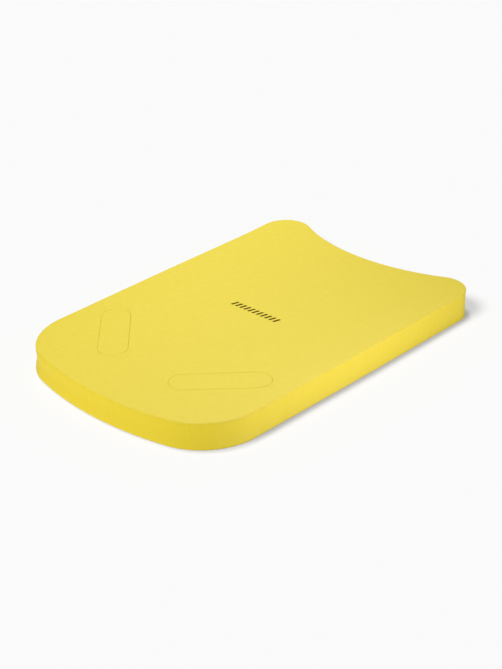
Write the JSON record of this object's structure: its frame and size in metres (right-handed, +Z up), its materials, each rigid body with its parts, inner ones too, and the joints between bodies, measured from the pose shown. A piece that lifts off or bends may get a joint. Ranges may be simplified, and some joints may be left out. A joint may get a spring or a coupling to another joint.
{
  "type": "swimming kickboard",
  "caption": "Flat foam swimming kickboard with a rounded nose, a scalloped tail and push-out plugs in its angled hand holds.",
  "frame": {"origin": "on the surface the board lies on, under the middle of the board's box", "axes": "+Z up through the thickness, -Y towards the rounded nose, +Y towards the scalloped tail, +X towards the swimmer's left"},
  "size_m": [0.283, 0.426, 0.03],
  "materials": {
    "board_foam": "matte closed-cell EVA foam, bright yellow, fine grain on the faces and cut cells on the edge",
    "plug_foam": "the same matte yellow EVA foam",
    "mark_ink": "thin flat black pad print on the top face"
  },
  "bodies": {
    "board": {"foam_board": "board_foam"},
    "left_plug": {"left_grip_plug": "plug_foam"},
    "right_plug": {"right_grip_plug": "plug_foam"}
  },
  "joints": [
    {"name": "left_plug_push", "type": "slide", "parent": "board", "child": "left_plug", "axis": [0, 0, 1], "range_m": [0, 0.04]},
    {"name": "right_plug_push", "type": "slide", "parent": "board", "child": "right_plug", "axis": [0, 0, 1], "range_m": [0, 0.04]}
  ]
}
